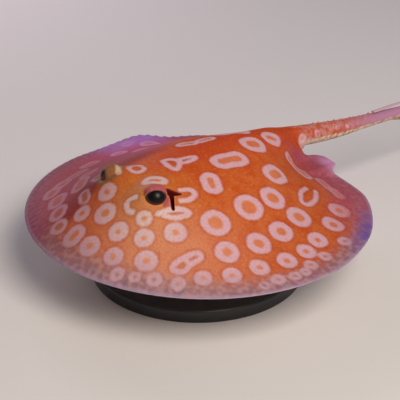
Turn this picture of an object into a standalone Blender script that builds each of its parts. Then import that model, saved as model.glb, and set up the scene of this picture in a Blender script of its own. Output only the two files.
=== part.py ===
"""Freshwater stingray, a young Potamotrygon, life size, gliding on a plain display stand.

Metres, +Z up. The snout points along -Y, the tail along +Y, and the animal's left is +X.
The origin is on the floor, at the middle of the stand's round base.
The animal is modelled whole, as one closed skin, and parted by thin upright cuts.
"""

import math

import bmesh
import bpy
from mathutils import Vector

# Driving dimensions in metres. Shapes of the animal are in shares of the disc's width.
DISC_WIDTH = 0.240
MARGIN_HEIGHT = 0.046          # the disc's margin above the floor
BASE_RADIUS = 0.074
BASE_THICKNESS = 0.009
ROD_RADIUS = 0.0025
ROD_Y = (-0.040, 0.050)        # the two rods stand on the midline
CUT = 0.0003                   # the thin cuts, and the gap round a fitted piece

# The disc: half width and half length, and how the outline draws in behind.
HALF_WIDTH = 0.5
HALF_LENGTH = 0.4765
REAR_DRAW_IN = (0.050, 0.155)  # behind the disc, and further at the tail's root
LOBE_ANGLES = (3.2, 11.5)      # degrees from the tail between which a pelvic lobe comes out of the root
LOBE_REACH = 0.010             # how far a pelvic lobe stands out of the drawn-in outline
NOTCH_ANGLE, NOTCH_DEPTH = 21.0, 0.042
NOTCH_SPREAD = (1.7, 1.1)      # degrees, on the lobe's side and on the disc's
LOBE_LIFT = 0.031              # the pelvic lobes are carried a little higher than the disc's margin

# Heights above the margin along three lines from the disc's middle to its margin.
STATIONS = (0.0, 0.2, 0.4, 0.6, 0.8, 0.9, 1.0)
TOP_FRONT = (0.176, 0.174, 0.164, 0.131, 0.068, 0.034, 0.000)
TOP_SIDE = (0.176, 0.161, 0.119, 0.062, 0.018, 0.007, 0.000)
TOP_REAR = (0.176, 0.165, 0.124, 0.062, 0.026, 0.014, 0.004)
DEEP_FRONT = (0.125, 0.124, 0.116, 0.090, 0.043, 0.025, 0.0120)
DEEP_SIDE = (0.125, 0.116, 0.085, 0.046, 0.019, 0.013, 0.0080)
DEEP_REAR = (0.125, 0.114, 0.086, 0.048, 0.022, 0.014, 0.0080)

RIM_DEPTH = 0.0045
CREST_ANGLE, CREST_HEIGHT = 67.0, 0.015     # one wave of the right margin, degrees from the tail

# The ridge of the back behind the disc's middle, which runs into the tail's root.
BACK_STATIONS = (0.0, 0.1, 0.2, 0.3, 0.36, 0.42)
BACK_TOP = (0.176, 0.174, 0.164, 0.147, 0.131, 0.118)
BACK_DEEP = (0.125, 0.122, 0.112, 0.092, 0.072, 0.058)
BACK_HALF_WIDTH = (0.140, 0.130, 0.104, 0.070, 0.046, 0.037)

# Eyes and what is round them.
EYE_X, EYE_Y = 0.089, -0.241
EYE_RADIUS = 0.0290
EYE_DEPTH = 0.018              # how far the eye's centre lies under the swelling's surface
MOUND_HEIGHT, MOUND_RADIUS = 0.030, 0.052
MOUND_INWARD = 0.010           # the swelling sits nearer the midline than its eye
SPIRACLE_OFFSET = (0.030, 0.044)        # from the eye: outwards and backwards
SPIRACLE_SIZE = (0.024, 0.012, 0.016)   # half length, half width, half depth

# The mouth, underneath.
MOUTH_Y, MOUTH_HALF_WIDTH, MOUTH_DEPTH = -0.300, 0.042, 0.010

# The tail, from its root at the disc's rear edge to its tip.
TAIL_LENGTH = 1.020
TAIL_STATIONS = (0.0, 0.15, 0.33, 0.48, 0.65, 0.80, 0.93, 1.0)
TAIL_HALF_WIDTH = (0.0350, 0.0315, 0.0250, 0.0190, 0.0130, 0.0085, 0.0045, 0.0022)
TAIL_HALF_HEIGHT = (0.0310, 0.0295, 0.0200, 0.0165, 0.0115, 0.0080, 0.0045, 0.0022)
TAIL_ROOT_ANGLE = 4.8          # degrees from the midline that the root spans, each side
TAIL_SWEEP = 8.0               # degrees to the animal's left
TAIL_PITCH = (-10.0, -2.3)      # degrees, at the root and along the rest
FOLD_UPPER = (0.60, 0.93, 0.012)        # where the fold begins and ends, and its height
FOLD_LOWER = (0.42, 0.95, 0.014)

# The sting, a flat bony dagger on top of the tail.
STING_START, STING_LENGTH = 0.36, 0.235
STING_HALF_WIDTH, STING_HALF_THICKNESS = 0.0085, 0.0032
STING_LIFT = 3.0               # degrees away from the tail
STING_TEETH = 14

# Plan lines that part the animal.
CORE_FRONT_Y, CORE_MIDDLE_Y, CORE_HALF_WIDTH = -0.345, -0.110, 0.180
CORE_ROOT_Y, CORE_ROOT_HALF_WIDTH = 0.400, 0.050
NECK_Y = -0.125
TRUNK_END_Y = 0.415
PELVIC_FRONT_Y = 0.335
PELVIC_CORNER = (0.105, PELVIC_FRONT_Y)
PELVIC_NOTCH = (0.1565, 0.437)
TAIL_CUTS_Y = (0.78, 1.12)
FAR = 0.75                     # past everything, for the cutters

# How finely the skin is divided.
# Columns: up to so many degrees from the tail, in steps of so many. Rings: shares of the way out.
COLUMN_STEPS = ((4.8, 1.2), (9.0, 1.4), (23.0, 2.0), (180.0, 5.6))
TOP_RINGS = (0.08, 0.18, 0.29, 0.39, 0.49, 0.58, 0.67, 0.76, 0.85, 0.93, 1.0)
UNDER_RINGS = (1.0, 0.92, 0.78, 0.62, 0.44, 0.22)
TAIL_RINGS = 25


def ease(low, high, x):
    """0 at low, 1 at high, with a smooth step between. It also runs downhill."""
    t = min(max((x - low) / (high - low), 0.0), 1.0)
    return t * t * (3 - 2 * t)


def along(stations, values, x):
    """A smooth curve through the values at the stations."""
    x = min(max(x, stations[0]), stations[-1])
    last = len(stations) - 2
    i = next(k for k in range(last + 1) if x <= stations[k + 1] or k == last)

    def slope(k):
        if k == 0:
            return 0.0
        if k == len(stations) - 1:
            return (values[k] - values[k - 1]) / (stations[k] - stations[k - 1])
        return (values[k + 1] - values[k - 1]) / (stations[k + 1] - stations[k - 1])

    width = stations[i + 1] - stations[i]
    t = (x - stations[i]) / width
    return (
        (2 * t**3 - 3 * t**2 + 1) * values[i]
        + (t**3 - 2 * t**2 + t) * width * slope(i)
        + (3 * t**2 - 2 * t**3) * values[i + 1]
        + (t**3 - t**2) * width * slope(i + 1)
    )


def from_tail(angle):
    """Degrees from the tail's side of the disc, for an angle from the snout."""
    return 180.0 - abs(angle)


def oval(angle):
    """The plan radius of the plain oval that the disc follows, at an angle from the snout in degrees."""
    a = math.radians(angle)
    return 1 / math.hypot(math.sin(a) / HALF_WIDTH, math.cos(a) / HALF_LENGTH)


def margin(angle):
    """The disc's plan radius at an angle: the oval, drawn in behind, with the pelvic lobes."""
    b = from_tail(angle)
    draw = REAR_DRAW_IN[0] * (1 - ease(NOTCH_ANGLE, 38.0, b))
    draw += REAR_DRAW_IN[1] * (1 - ease(*LOBE_ANGLES, b))
    lobe = LOBE_REACH * ease(*LOBE_ANGLES, b) * (1 - ease(16.0, NOTCH_ANGLE, b))
    notch = NOTCH_DEPTH * math.exp(-(((b - NOTCH_ANGLE) / NOTCH_SPREAD[b > NOTCH_ANGLE]) ** 2))
    return oval(angle) * (1 - draw + lobe - notch)


REAR_EDGE = margin(180.0)      # the plan radius where the tail leaves the disc


def blended(front, side, rear, angle, share):
    """A size between the three lines, at an angle and a share of the way out to the oval."""
    c = math.cos(math.radians(angle))
    end = front if c > 0 else rear
    share = min(share, 1.0)
    return along(STATIONS, side, share) * (1 - c * c) + along(STATIONS, end, share) * c * c


def base_top(angle, share):
    """How high the disc's skin lies above the margin, without the back's ridge."""
    return blended(TOP_FRONT, TOP_SIDE, TOP_REAR, angle, share)


def base_depth(angle, share, s):
    """How deep the disc is, without the ridge. It thins to the margin wherever that is drawn in."""
    deep = blended(DEEP_FRONT, DEEP_SIDE, DEEP_REAR, angle, share)
    return RIM_DEPTH + (deep - RIM_DEPTH) * (1 - s**8)


def ridge(x, y, line, base):
    """What the ridge adds at a plan point behind the middle. On the midline the sum follows the line."""
    half = along(BACK_STATIONS, BACK_HALF_WIDTH, y)
    power = 2 + 2 * ease(0.2, REAR_EDGE, y)
    return (along(BACK_STATIONS, line, y) - base) * math.exp(-abs(x / half) ** power)


def mounds(x, y):
    """The two swellings that carry the eyes."""
    d2 = ((abs(x) - EYE_X + MOUND_INWARD) ** 2 + (y - EYE_Y) ** 2) / MOUND_RADIUS**2
    return MOUND_HEIGHT * math.exp(-d2)


def waves(angle, s):
    """The soft waves along the margin of the swimming disc, and the lift of the pelvic lobes."""
    b = from_tail(angle)
    ripple = 0.0030 * math.sin(math.radians(b * 11)) * ease(25, 50, b) * (1 - ease(75, 100, b))
    crest = CREST_HEIGHT * math.exp(-(((b - CREST_ANGLE) / 8) ** 2)) if angle < 0 else 0.0
    lobe = LOBE_LIFT * ease(4.0, 9.0, b) * (1 - ease(NOTCH_ANGLE - 2, NOTCH_ANGLE + 2, b))
    return (ripple + crest) * ease(0.55, 1.0, s) + lobe * ease(0.72, 1.0, s)


def skin_point(angle, s, under=False):
    """A point of the disc's skin, above or underneath, in shares of the disc's width."""
    a = math.radians(angle)
    r = margin(angle) * s
    x, y = math.sin(a) * r, -math.cos(a) * r
    share = r / oval(angle)
    z = base_top(angle, share) + waves(angle, s)
    if y > 0:
        z += ridge(x, y, BACK_TOP, base_top(180.0, y / HALF_LENGTH))
    if under:
        z -= base_depth(angle, share, s)
        if y > 0:
            middle = base_depth(180.0, y / HALF_LENGTH, min(y / REAR_EDGE, 1.0))
            z -= ridge(x, y, BACK_DEEP, middle)
    else:
        z += mounds(x, y)
    return Vector((x, y, z))


def tail_direction(t):
    """The way the tail runs at a share of its length."""
    yaw = math.radians(TAIL_SWEEP * ease(0.0, 0.15, t) * (1 - 1.4 * ease(0.45, 1.0, t)))
    pitch = math.radians(TAIL_PITCH[0] + (TAIL_PITCH[1] - TAIL_PITCH[0]) * ease(0.0, 0.3, t))
    pitch += math.radians(5.0) * ease(0.55, 1.0, t)
    return Vector((math.sin(yaw) * math.cos(pitch), math.cos(yaw) * math.cos(pitch), math.sin(pitch)))


def tail_centres(count):
    """Centres and directions of the tail's rings, from its root to its tip."""
    top, low = skin_point(180.0, 1.0), skin_point(180.0, 1.0, under=True)
    here = (top + low) / 2
    made = [(here.copy(), tail_direction(0.0))]
    for k in range(count):
        t = (k + 0.5) / count
        here = here + tail_direction(t) * (TAIL_LENGTH / count)
        made.append((here.copy(), tail_direction((k + 1) / count)))
    return made


def fold_height(fold, t):
    """The height of a fin fold of the tail, at a share of the tail's length."""
    begin, end, height = fold
    return height * ease(begin, begin + 0.08, t) * (1 - ease(end - 0.22, end, t))


def tail_point(centre, direction, t, turn):
    """A point of the tail's skin. turn runs round the tail from its left side, over its top."""
    left = Vector((direction.y, -direction.x, 0)).normalized()
    up = left.cross(direction).normalized()
    half_width = along(TAIL_STATIONS, TAIL_HALF_WIDTH, t)
    half_height = along(TAIL_STATIONS, TAIL_HALF_HEIGHT, t)
    across, rise = math.cos(turn) * half_width, math.sin(turn) * half_height
    peak = math.exp(-((math.cos(turn) / 0.16) ** 2))
    fold = fold_height(FOLD_UPPER if rise > 0 else FOLD_LOWER, t)
    rise += math.copysign(fold * peak, rise)
    return centre + left * across + up * rise


def column_angles():
    """The angles of the skin's columns, from the snout round to the snout again, closer at the tail."""
    half, b = [0.0], 0.0
    for end, step in COLUMN_STEPS:
        while b < end - 1e-6:
            b = min(b + step, end)
            half.append(b)
    left = [180.0 - b for b in half]
    return left + [b - 180.0 for b in reversed(half[1:-1])]


def whole_animal():
    """One closed skin: rings out over the disc, round its margin and back underneath, then the tail."""
    angles = column_angles()
    bm = bmesh.new()
    made = bmesh.ops.create_circle(bm, segments=len(angles), radius=1.0, cap_ends=True)
    ring = made["verts"]

    def place(verts, points):
        for vert, point in zip(verts, points):
            vert.co = point

    def next_ring(verts):
        edges = [bm.edges.get((a, b)) for a, b in zip(verts, verts[1:] + verts[:1])]
        out = bmesh.ops.extrude_edge_only(bm, edges=edges)["geom"]
        fresh = {v for v in out if isinstance(v, bmesh.types.BMVert)}
        return [next(e.other_vert(v) for e in v.link_edges if e.other_vert(v) in fresh) for v in verts]

    place(ring, [skin_point(a, TOP_RINGS[0]) for a in angles])
    for s in TOP_RINGS[1:]:
        ring = next_ring(ring)
        place(ring, [skin_point(a, s) for a in angles])
    upper = ring
    ring = next_ring(ring)
    place(ring, [(skin_point(a, 1.0) + skin_point(a, 1.0, under=True)) / 2 for a in angles])
    for vert, a in zip(ring, angles):
        out = vert.co.xy.normalized() * 0.0022
        vert.co.xy += out if from_tail(a) > TAIL_ROOT_ANGLE else Vector((0, 0))
    edge = ring
    for s in UNDER_RINGS:
        ring = next_ring(ring)
        place(ring, [skin_point(a, s, under=True) for a in angles])
        if s == 1.0:
            lower = ring
    bm.faces.new(ring)

    # The tail grows out of the part of the margin between the pelvic lobes.
    root = [i for i, a in enumerate(angles) if from_tail(a) <= TAIL_ROOT_ANGLE + 1e-6]
    root.sort(key=lambda i: -upper[i].co.x)
    patch = set()
    for i, j in zip(root, root[1:]):
        for top, bottom in ((upper, edge), (edge, lower)):
            corners = {top[i], top[j], bottom[i], bottom[j]}
            patch |= {f for f in top[i].link_faces if set(f.verts) == corners}
    loop = [upper[i] for i in root] + [edge[root[-1]]]
    loop += [lower[i] for i in reversed(root)] + [edge[root[0]]]
    across = len(root) - 1
    turns = [math.pi * (0.5 + k) / (across + 1) for k in range(across + 1)] + [math.pi]
    turns += [math.pi + turn for turn in turns[:-1]] + [2 * math.pi]
    inner = [edge[i] for i in root[1:-1]]
    base = [v.co.copy() for v in loop]
    base_inner = [v.co.copy() for v in inner]
    centres = tail_centres(TAIL_RINGS)
    start = centres[0][0]
    for k in range(1, TAIL_RINGS + 1):
        t = k / TAIL_RINGS
        centre, direction = centres[k]
        moved = bmesh.ops.extrude_face_region(bm, geom=list(patch))["geom"]
        bmesh.ops.delete(bm, geom=list(patch), context="FACES")
        patch = {f for f in moved if isinstance(f, bmesh.types.BMFace)}
        fresh = {v for f in patch for v in f.verts}

        def successor(vert):
            return next(e.other_vert(vert) for e in vert.link_edges if e.other_vert(vert) in fresh)

        loop = [successor(v) for v in loop]
        settled = ease(0.0, 0.07, t)
        for vert, turn, first in zip(loop, turns, base):
            round_point = tail_point(centre, direction, t, turn)
            vert.co = (first - start + centre) * (1 - settled) + round_point * settled
        inner = sorted(fresh - set(loop), key=lambda v: -v.co.x)
        for n, (vert, first) in enumerate(zip(inner, base_inner)):
            turn = math.pi * (n + 1) / (len(inner) + 1)
            middle = tail_point(centre, direction, t, turn)
            middle = centre + (middle - centre).project(Vector((direction.y, -direction.x, 0)))
            vert.co = (first - start + centre) * (1 - settled) + middle * settled
    bmesh.ops.recalc_face_normals(bm, faces=bm.faces)
    for vert in bm.verts:
        vert.co = vert.co * DISC_WIDTH + Vector((0, 0, MARGIN_HEIGHT))
    bmesh.ops.triangulate(bm, faces=bm.faces)
    return bm


def finish(name, bm, colour, roughness, metallic=0.0):
    """Turns a bmesh into a named object with a material of its own."""
    mesh = bpy.data.meshes.new(name)
    bm.to_mesh(mesh)
    bm.free()
    mesh.shade_smooth()
    mesh.set_sharp_from_angle(angle=math.radians(40))
    material = bpy.data.materials.new(name)
    material.use_nodes = True
    shader = material.node_tree.nodes["Principled BSDF"]
    shader.inputs["Base Color"].default_value = (*colour, 1.0)
    shader.inputs["Roughness"].default_value = roughness
    shader.inputs["Metallic"].default_value = metallic
    mesh.materials.append(material)
    thing = bpy.data.objects.new(name, mesh)
    bpy.context.scene.collection.objects.link(thing)
    return thing


def hide_cutter(thing):
    """A cutter isn't part of the model."""
    thing.hide_render = True
    thing.display_type = "WIRE"
    return thing


def cut(thing, cutter, operation):
    """Adds a Boolean to a sub-part."""
    modifier = thing.modifiers.new(cutter.name, "BOOLEAN")
    modifier.object = cutter
    modifier.operation = operation
    modifier.solver = "EXACT"


def core_half_width(y):
    """Half the plan width of head and trunk together, where the pectoral fins join them."""
    if y < CORE_MIDDLE_Y:
        t = (CORE_MIDDLE_Y - y) / (CORE_MIDDLE_Y - CORE_FRONT_Y)
        return CORE_HALF_WIDTH * math.sqrt(max(0.0, 1 - t * t))
    narrow = ease(CORE_MIDDLE_Y, CORE_ROOT_Y, y)
    return CORE_HALF_WIDTH + (CORE_ROOT_HALF_WIDTH - CORE_HALF_WIDTH) * narrow


def core_line(y_from, y_to, count):
    """Plan points along the left edge of head and trunk. The front is stepped by angle, as it is round."""
    points = []
    for k in range(count + 1):
        y = y_from + (y_to - y_from) * k / count
        if y_from == CORE_FRONT_Y:
            y = CORE_MIDDLE_Y - (CORE_MIDDLE_Y - CORE_FRONT_Y) * math.cos(math.pi / 2 * k / count)
        points.append((core_half_width(y), y))
    return points


def mirrored(points):
    """The same plan points on the animal's right, in the other order."""
    return [(-x, y) for x, y in reversed(points)]


def plan_cutter(name, outline):
    """An upright prism over a plan outline, drawn in by half a cut all round."""
    bm = bmesh.new()
    verts = [bm.verts.new((x * DISC_WIDTH, y * DISC_WIDTH, -0.02)) for x, y in outline]
    face = bm.faces.new(verts)
    face.normal_update()
    rim = bmesh.ops.inset_region(
        bm, faces=[face], thickness=CUT / 2, use_even_offset=True, use_boundary=True
    )["faces"]
    bmesh.ops.delete(bm, geom=rim, context="FACES")
    lid = bmesh.ops.extrude_face_region(bm, geom=list(bm.faces))["geom"]
    bmesh.ops.translate(bm, verts=[v for v in lid if isinstance(v, bmesh.types.BMVert)], vec=(0, 0, 0.2))
    bmesh.ops.recalc_face_normals(bm, faces=bm.faces)
    return hide_cutter(finish(name, bm, (0.5, 0.5, 0.5), 0.5))


def plan_outlines():
    """Plan outlines of the flesh sub-parts, in shares of the disc's width."""
    front = core_line(CORE_FRONT_Y, CORE_MIDDLE_Y, 10)
    neck = [p for p in front if p[1] < NECK_Y - 0.01] + [(core_half_width(NECK_Y), NECK_Y)]
    flank = core_line(NECK_Y, PELVIC_FRONT_Y, 10)
    root = [(core_half_width(y), y) for y in (PELVIC_FRONT_Y, 0.375, TRUNK_END_Y)]
    sides = [*flank, *root[1:]]
    fin = [(0.0, CORE_FRONT_Y), *neck[1:], *flank[1:], PELVIC_CORNER, PELVIC_NOTCH]
    fin += [(PELVIC_NOTCH[0] + 0.03, 0.6), (FAR, 0.6), (FAR, -FAR), (0.0, -FAR)]
    pelvic = [*root, (CORE_ROOT_HALF_WIDTH, 0.6), (PELVIC_NOTCH[0] + 0.03, 0.6), PELVIC_NOTCH, PELVIC_CORNER]
    tail_side = CORE_ROOT_HALF_WIDTH
    lengths = {"tail_base": (TRUNK_END_Y, TAIL_CUTS_Y[0]), "tail_middle": TAIL_CUTS_Y}
    lengths["tail_end"] = (TAIL_CUTS_Y[1], 2.0)
    outlines = {
        "head": [*neck, *mirrored(neck[1:])],
        "trunk": [*sides, *mirrored(sides)],
        "pectoral_fin_left": fin,
        "pectoral_fin_right": mirrored(fin),
        "pelvic_fin_left": pelvic,
        "pelvic_fin_right": mirrored(pelvic),
    }
    for name, (start, end) in lengths.items():
        left = tail_side if name == "tail_base" else FAR
        right = [(left, start), (left, end)]
        if name == "tail_base":
            right = [(left, start), (left, 0.56), (FAR, 0.62), (FAR, end)]
        outlines[name] = [*right, *mirrored(right)]
    return outlines


FLESH_COLOURS = {
    "head": (0.78, 0.30, 0.10),
    "trunk": (0.70, 0.22, 0.07),
    "pectoral_fin_left": (0.72, 0.30, 0.14),
    "pectoral_fin_right": (0.62, 0.24, 0.26),
    "pelvic_fin_left": (0.68, 0.36, 0.36),
    "pelvic_fin_right": (0.66, 0.34, 0.34),
    "tail_base": (0.72, 0.28, 0.12),
    "tail_middle": (0.70, 0.34, 0.22),
    "tail_end": (0.62, 0.36, 0.34),
}


def socket_centre(side):
    """The centre of an eye, in metres."""
    x, y = side * EYE_X, EYE_Y
    angle = math.degrees(math.atan2(x, -y))
    s = math.hypot(x, y) / margin(angle)
    z = skin_point(angle, s).z - EYE_DEPTH
    return Vector((x, y, z)) * DISC_WIDTH + Vector((0, 0, MARGIN_HEIGHT))


def ball(name, centre, radii, colour, roughness, detail=(18, 10)):
    """A ball or egg with its own radii, at a place."""
    bm = bmesh.new()
    bmesh.ops.create_uvsphere(bm, u_segments=detail[0], v_segments=detail[1], radius=1.0)
    bmesh.ops.scale(bm, verts=bm.verts, vec=radii)
    bmesh.ops.translate(bm, verts=bm.verts, vec=centre)
    return finish(name, bm, colour, roughness)


def spiracle_centre(side):
    """The middle of the breathing hole behind an eye, in metres."""
    out, back = SPIRACLE_OFFSET
    x, y = side * (EYE_X + out), EYE_Y + back
    angle = math.degrees(math.atan2(x, -y))
    z = skin_point(angle, math.hypot(x, y) / margin(angle)).z
    return Vector((x, y, z)) * DISC_WIDTH + Vector((0, 0, MARGIN_HEIGHT))


def add_flesh(animal):
    """Head, trunk, fins and tail lengths: the whole animal within each plan outline."""
    made = {}
    for name, outline in plan_outlines().items():
        part = finish(name, animal.copy(), FLESH_COLOURS[name], 0.45)
        cut(part, plan_cutter(name + "_plan", outline), "INTERSECT")
        made[name] = part
    return made


def add_eyes(head):
    """Eyeballs in sockets, and the two breathing holes behind them."""
    radius = EYE_RADIUS * DISC_WIDTH
    for side, word in ((1, "left"), (-1, "right")):
        centre = socket_centre(side)
        ball("eye_" + word, centre, (radius,) * 3, (0.02, 0.012, 0.010), 0.08)
        socket = ball("socket_" + word, centre, (radius + CUT,) * 3, (0.2, 0.1, 0.1), 0.6)
        cut(head, hide_cutter(socket), "DIFFERENCE")
        length, width, depth = (v * DISC_WIDTH for v in SPIRACLE_SIZE)
        radii = (width, length, depth)
        hole = ball("spiracle_" + word, spiracle_centre(side), radii, (0.1, 0.02, 0.02), 0.6, (16, 8))
        cut(head, hide_cutter(hole), "DIFFERENCE")


def add_mouth(head):
    """The mouth, a shallow curved slot on the underside."""
    low = skin_point(0.0, -MOUTH_Y / margin(0.0), under=True).z * DISC_WIDTH + MARGIN_HEIGHT
    radii = (MOUTH_HALF_WIDTH * DISC_WIDTH, 0.010 * DISC_WIDTH, MOUTH_DEPTH * DISC_WIDTH)
    slot = ball("mouth_slot", Vector((0, MOUTH_Y * DISC_WIDTH, low)), radii, (0.3, 0.1, 0.1), 0.6, (16, 8))
    cut(head, hide_cutter(slot), "DIFFERENCE")


def add_sting():
    """The sting: a flat dagger with teeth along both edges, lying over the tail and lifting off it."""
    count = STING_TEETH * 2
    centres = tail_centres(TAIL_RINGS)
    first = STING_START * TAIL_RINGS
    centre, direction = centres[int(first)]
    centre = centre.lerp(centres[int(first) + 1][0], first % 1)
    left = Vector((direction.y, -direction.x, 0)).normalized()
    up = left.cross(direction).normalized()
    lift = math.radians(STING_LIFT)
    ahead = (direction * math.cos(lift) + up * math.sin(lift)).normalized()
    rise = ahead.cross(-left).normalized()
    half_height = along(TAIL_STATIONS, TAIL_HALF_HEIGHT, STING_START)
    start = centre + up * (half_height + STING_HALF_THICKNESS + 2 * CUT / DISC_WIDTH)
    bm = bmesh.new()
    ring = bmesh.ops.create_circle(bm, segments=6, radius=1.0, cap_ends=True)["verts"]

    def place(verts, t, tooth):
        taper = 1 - ease(0.25, 1.0, t) * 0.93
        for k, vert in enumerate(verts):
            turn = 2 * math.pi * k / 6
            across = math.cos(turn) * STING_HALF_WIDTH * taper * (1 + tooth * abs(math.cos(turn)) ** 3)
            high = math.sin(turn) * STING_HALF_THICKNESS * taper
            vert.co = start + ahead * STING_LENGTH * t + left * across + rise * high

    place(ring, 0.0, 0.0)
    for k in range(1, count + 1):
        edges = [bm.edges.get((a, b)) for a, b in zip(ring, ring[1:] + ring[:1])]
        out = bmesh.ops.extrude_edge_only(bm, edges=edges)["geom"]
        fresh = {v for v in out if isinstance(v, bmesh.types.BMVert)}
        ring = [next(e.other_vert(v) for e in v.link_edges if e.other_vert(v) in fresh) for v in ring]
        t = k / count
        place(ring, t, 0.22 if k % 2 and t > 0.25 else 0.0)
    bm.faces.new(ring)
    bmesh.ops.recalc_face_normals(bm, faces=bm.faces)
    for vert in bm.verts:
        vert.co = vert.co * DISC_WIDTH + Vector((0, 0, MARGIN_HEIGHT))
    bmesh.ops.triangulate(bm, faces=bm.faces)
    finish("tail_sting", bm, (0.80, 0.66, 0.62), 0.35)


def turned(name, profile, place, colour, roughness, metallic, steps):
    """A turned piece: a closed half profile of (radius, height) spun round the vertical."""
    bm = bmesh.new()
    verts = [bm.verts.new((radius, 0, height)) for radius, height in profile]
    edges = [bm.edges.new(pair) for pair in zip(verts, verts[1:])]
    spun = {"cent": (0, 0, 0), "axis": (0, 0, 1), "angle": 2 * math.pi, "steps": steps}
    bmesh.ops.spin(bm, geom=verts + edges, use_merge=True, **spun)
    bmesh.ops.remove_doubles(bm, verts=bm.verts, dist=1e-6)
    bmesh.ops.recalc_face_normals(bm, faces=bm.faces)
    bmesh.ops.translate(bm, verts=bm.verts, vec=place)
    return finish(name, bm, colour, roughness, metallic)


def belly_height(x, y):
    """The height of the belly over a plan point in metres, at its lowest within a rod's pad."""
    lows = []
    for turn in range(8):
        px = (x + ROD_RADIUS * 2 * math.cos(turn * math.pi / 4)) / DISC_WIDTH
        py = (y + ROD_RADIUS * 2 * math.sin(turn * math.pi / 4)) / DISC_WIDTH
        angle = math.degrees(math.atan2(px, -py))
        lows.append(skin_point(angle, math.hypot(px, py) / margin(angle), under=True).z)
    return min(lows) * DISC_WIDTH + MARGIN_HEIGHT


def add_stand():
    """A round base with a rounded top edge, and two rods with small round pads under the belly."""
    r, h, soft = BASE_RADIUS, BASE_THICKNESS, 0.0025
    bend = [(r - soft + soft * math.sin(a), h - soft + soft * math.cos(a)) for a in (1.57, 1.05, 0.52, 0.0)]
    base = [(0, 0), (r - 0.001, 0), (r, 0.001), *bend, (0, h)]
    turned("stand_base", base, (0, 0, 0), (0.03, 0.03, 0.032), 0.35, 0.0, 48)
    for y, word in zip(ROD_Y, ("front", "rear")):
        top = belly_height(0.0, y) - CUT
        low = BASE_THICKNESS + CUT
        pad = ROD_RADIUS * 2
        rod = [(0, low), (ROD_RADIUS, low), (ROD_RADIUS, top - 0.0035)]
        rod += [(pad, top - 0.0015), (pad, top), (0, top)]
        turned("stand_rod_" + word, rod, (0, y, 0), (0.62, 0.62, 0.63), 0.3, 1.0, 16)


for old in list(bpy.data.objects):
    bpy.data.objects.remove(old, do_unlink=True)
stingray = whole_animal()
flesh = add_flesh(stingray)
stingray.free()
add_eyes(flesh["head"])
add_mouth(flesh["head"])
add_sting()
add_stand()
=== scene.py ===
"""A life-size young freshwater stingray, gliding on a plain display stand.

Metres, +Z up. The snout points along -Y, the tail along +Y, and the animal's left is +X.
"""

import math

import bmesh
import bpy
import numpy as np
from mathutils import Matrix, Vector


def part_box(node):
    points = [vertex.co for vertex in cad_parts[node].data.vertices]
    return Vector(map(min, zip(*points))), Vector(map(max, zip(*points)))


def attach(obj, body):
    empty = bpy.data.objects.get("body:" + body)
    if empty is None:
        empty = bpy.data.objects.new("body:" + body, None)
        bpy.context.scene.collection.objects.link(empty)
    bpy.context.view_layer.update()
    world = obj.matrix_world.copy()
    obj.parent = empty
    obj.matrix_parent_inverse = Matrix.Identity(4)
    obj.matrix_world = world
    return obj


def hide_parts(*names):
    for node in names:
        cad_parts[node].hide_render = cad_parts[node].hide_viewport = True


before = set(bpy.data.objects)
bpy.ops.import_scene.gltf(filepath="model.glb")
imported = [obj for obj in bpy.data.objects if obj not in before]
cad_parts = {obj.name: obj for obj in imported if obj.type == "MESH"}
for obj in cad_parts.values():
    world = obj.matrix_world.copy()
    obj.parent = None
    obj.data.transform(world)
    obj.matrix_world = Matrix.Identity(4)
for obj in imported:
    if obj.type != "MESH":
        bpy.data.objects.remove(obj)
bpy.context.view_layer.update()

# --- The skin: its form ------------------------------------------------------------------
# One soft, scaleless skin over the whole animal: a thin round disc, domed over head and body,
# whose rear edge carries two pelvic lobes and runs into the tail. It has the form of the solids.

DISC_WIDTH = 0.240             # all sizes of the form are shares of this
MARGIN_HEIGHT = 0.046          # metres above the floor
HALF_WIDTH, HALF_LENGTH = 0.5, 0.4765
REAR_DRAW_IN, DRAW_IN_ANGLE = (0.050, 0.155), 38.0      # angles here are in degrees off the tail
LOBE_ANGLES, LOBE_TIP_ANGLE, LOBE_REACH, LOBE_LIFT = (3.2, 11.5), 16.0, 0.010, 0.031
NOTCH_ANGLE, NOTCH_DEPTH, NOTCH_SPREAD = 21.0, 0.042, (1.7, 1.1)
STATIONS = (0.0, 0.2, 0.4, 0.6, 0.8, 0.9, 1.0)
TOP_FRONT = (0.176, 0.174, 0.164, 0.131, 0.068, 0.034, 0.000)
TOP_SIDE = (0.176, 0.161, 0.119, 0.062, 0.018, 0.007, 0.000)
TOP_REAR = (0.176, 0.165, 0.124, 0.062, 0.026, 0.014, 0.004)
DEEP_FRONT = (0.125, 0.124, 0.116, 0.090, 0.043, 0.025, 0.0120)
DEEP_SIDE = (0.125, 0.116, 0.085, 0.046, 0.019, 0.013, 0.0080)
DEEP_REAR = (0.125, 0.114, 0.086, 0.048, 0.022, 0.014, 0.0080)
RIM_DEPTH = 0.0045
CREST_ANGLE, CREST_SPREAD, CREST_HEIGHT = 67.0, 8, 0.015
RIPPLES, RIPPLE_HEIGHT = 11, 0.0030             # ripples in a full turn, and their height
BACK_STATIONS = (0.0, 0.1, 0.2, 0.3, 0.36, 0.42)
BACK_TOP = (0.176, 0.174, 0.164, 0.147, 0.131, 0.118)
BACK_DEEP = (0.125, 0.122, 0.112, 0.092, 0.072, 0.058)
BACK_HALF_WIDTH = (0.140, 0.130, 0.104, 0.070, 0.046, 0.037)
EYE_X, EYE_Y = 0.089, -0.241
MOUND_HEIGHT, MOUND_RADIUS, MOUND_INWARD = 0.030, 0.052, 0.010
TAIL_LENGTH = 1.020
TAIL_STATIONS = (0.0, 0.15, 0.33, 0.48, 0.65, 0.80, 0.93, 1.0)
TAIL_HALF_WIDTH = (0.0350, 0.0315, 0.0250, 0.0190, 0.0130, 0.0085, 0.0045, 0.0022)
TAIL_HALF_HEIGHT = (0.0310, 0.0295, 0.0200, 0.0165, 0.0115, 0.0080, 0.0045, 0.0022)
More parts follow.
